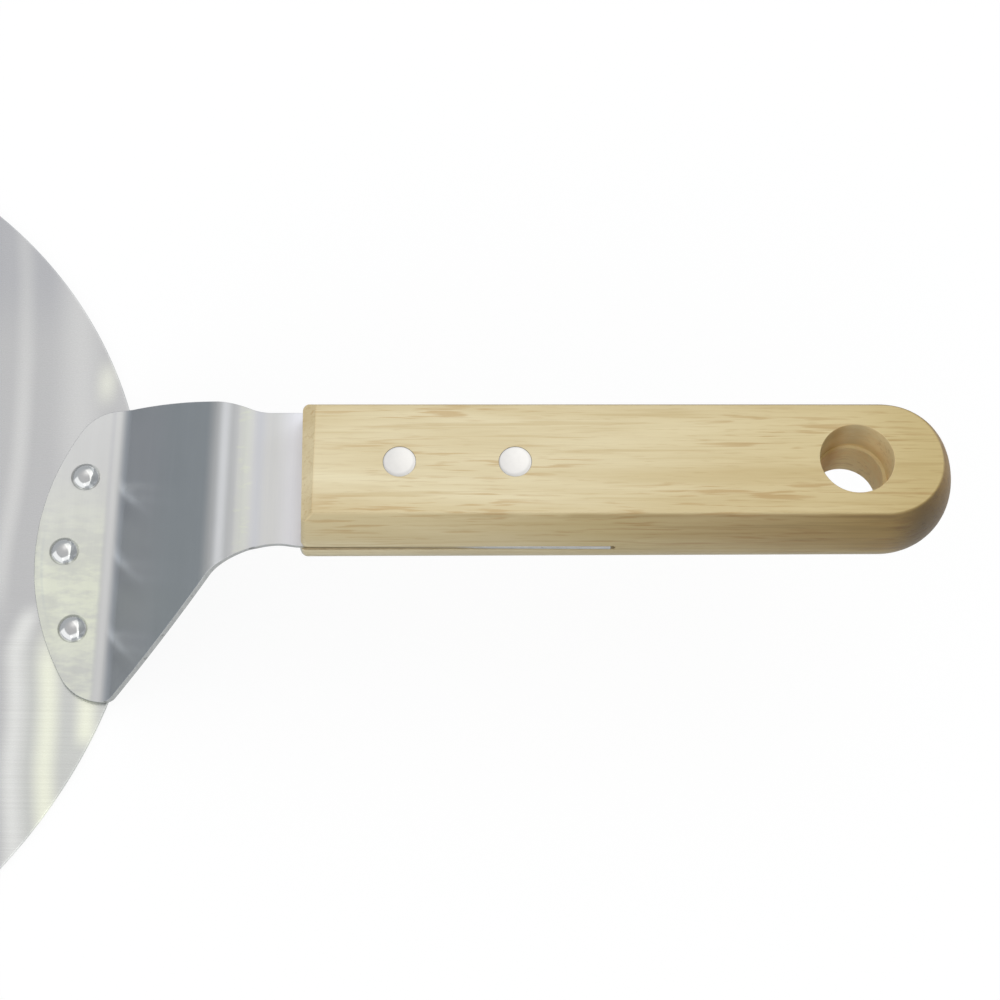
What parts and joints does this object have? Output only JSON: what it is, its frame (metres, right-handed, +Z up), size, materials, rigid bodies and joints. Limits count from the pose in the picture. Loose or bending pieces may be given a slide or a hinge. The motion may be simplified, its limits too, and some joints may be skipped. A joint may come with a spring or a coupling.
{
  "type": "cake lifter",
  "caption": "Round cake lifter: a thin flat disc on a riveted cranked shank, with a wooden grip that has a hanging hole.",
  "frame": {"origin": "centre of the disc's underside, on the surface that the lifter lies on", "axes": "+X along the lifter from the disc to the grip, +Z up out of the disc's top face, +Y across the disc, to the right of someone who holds the grip and faces the disc"},
  "size_m": [0.4433, 0.254, 0.0673],
  "materials": {
    "blade_steel": "fine straight brushing along the lifter",
    "shank_steel": "satin, slightly warmer than the disc",
    "polished_steel": "polished round heads",
    "pale_wood": "bare, sanded pale hardwood with short darker flecks along the grain",
    "bright_aluminium": "hammered flush and sanded with the wood"
  },
  "bodies": {
    "root": {"blade": "blade_steel", "shank": "shank_steel", "foot_rivet_1": "polished_steel", "foot_rivet_2": "polished_steel", "foot_rivet_3": "polished_steel", "grip": "pale_wood", "grip_rivet_1": "bright_aluminium", "grip_rivet_2": "bright_aluminium"}
  },
  "joints": []
}
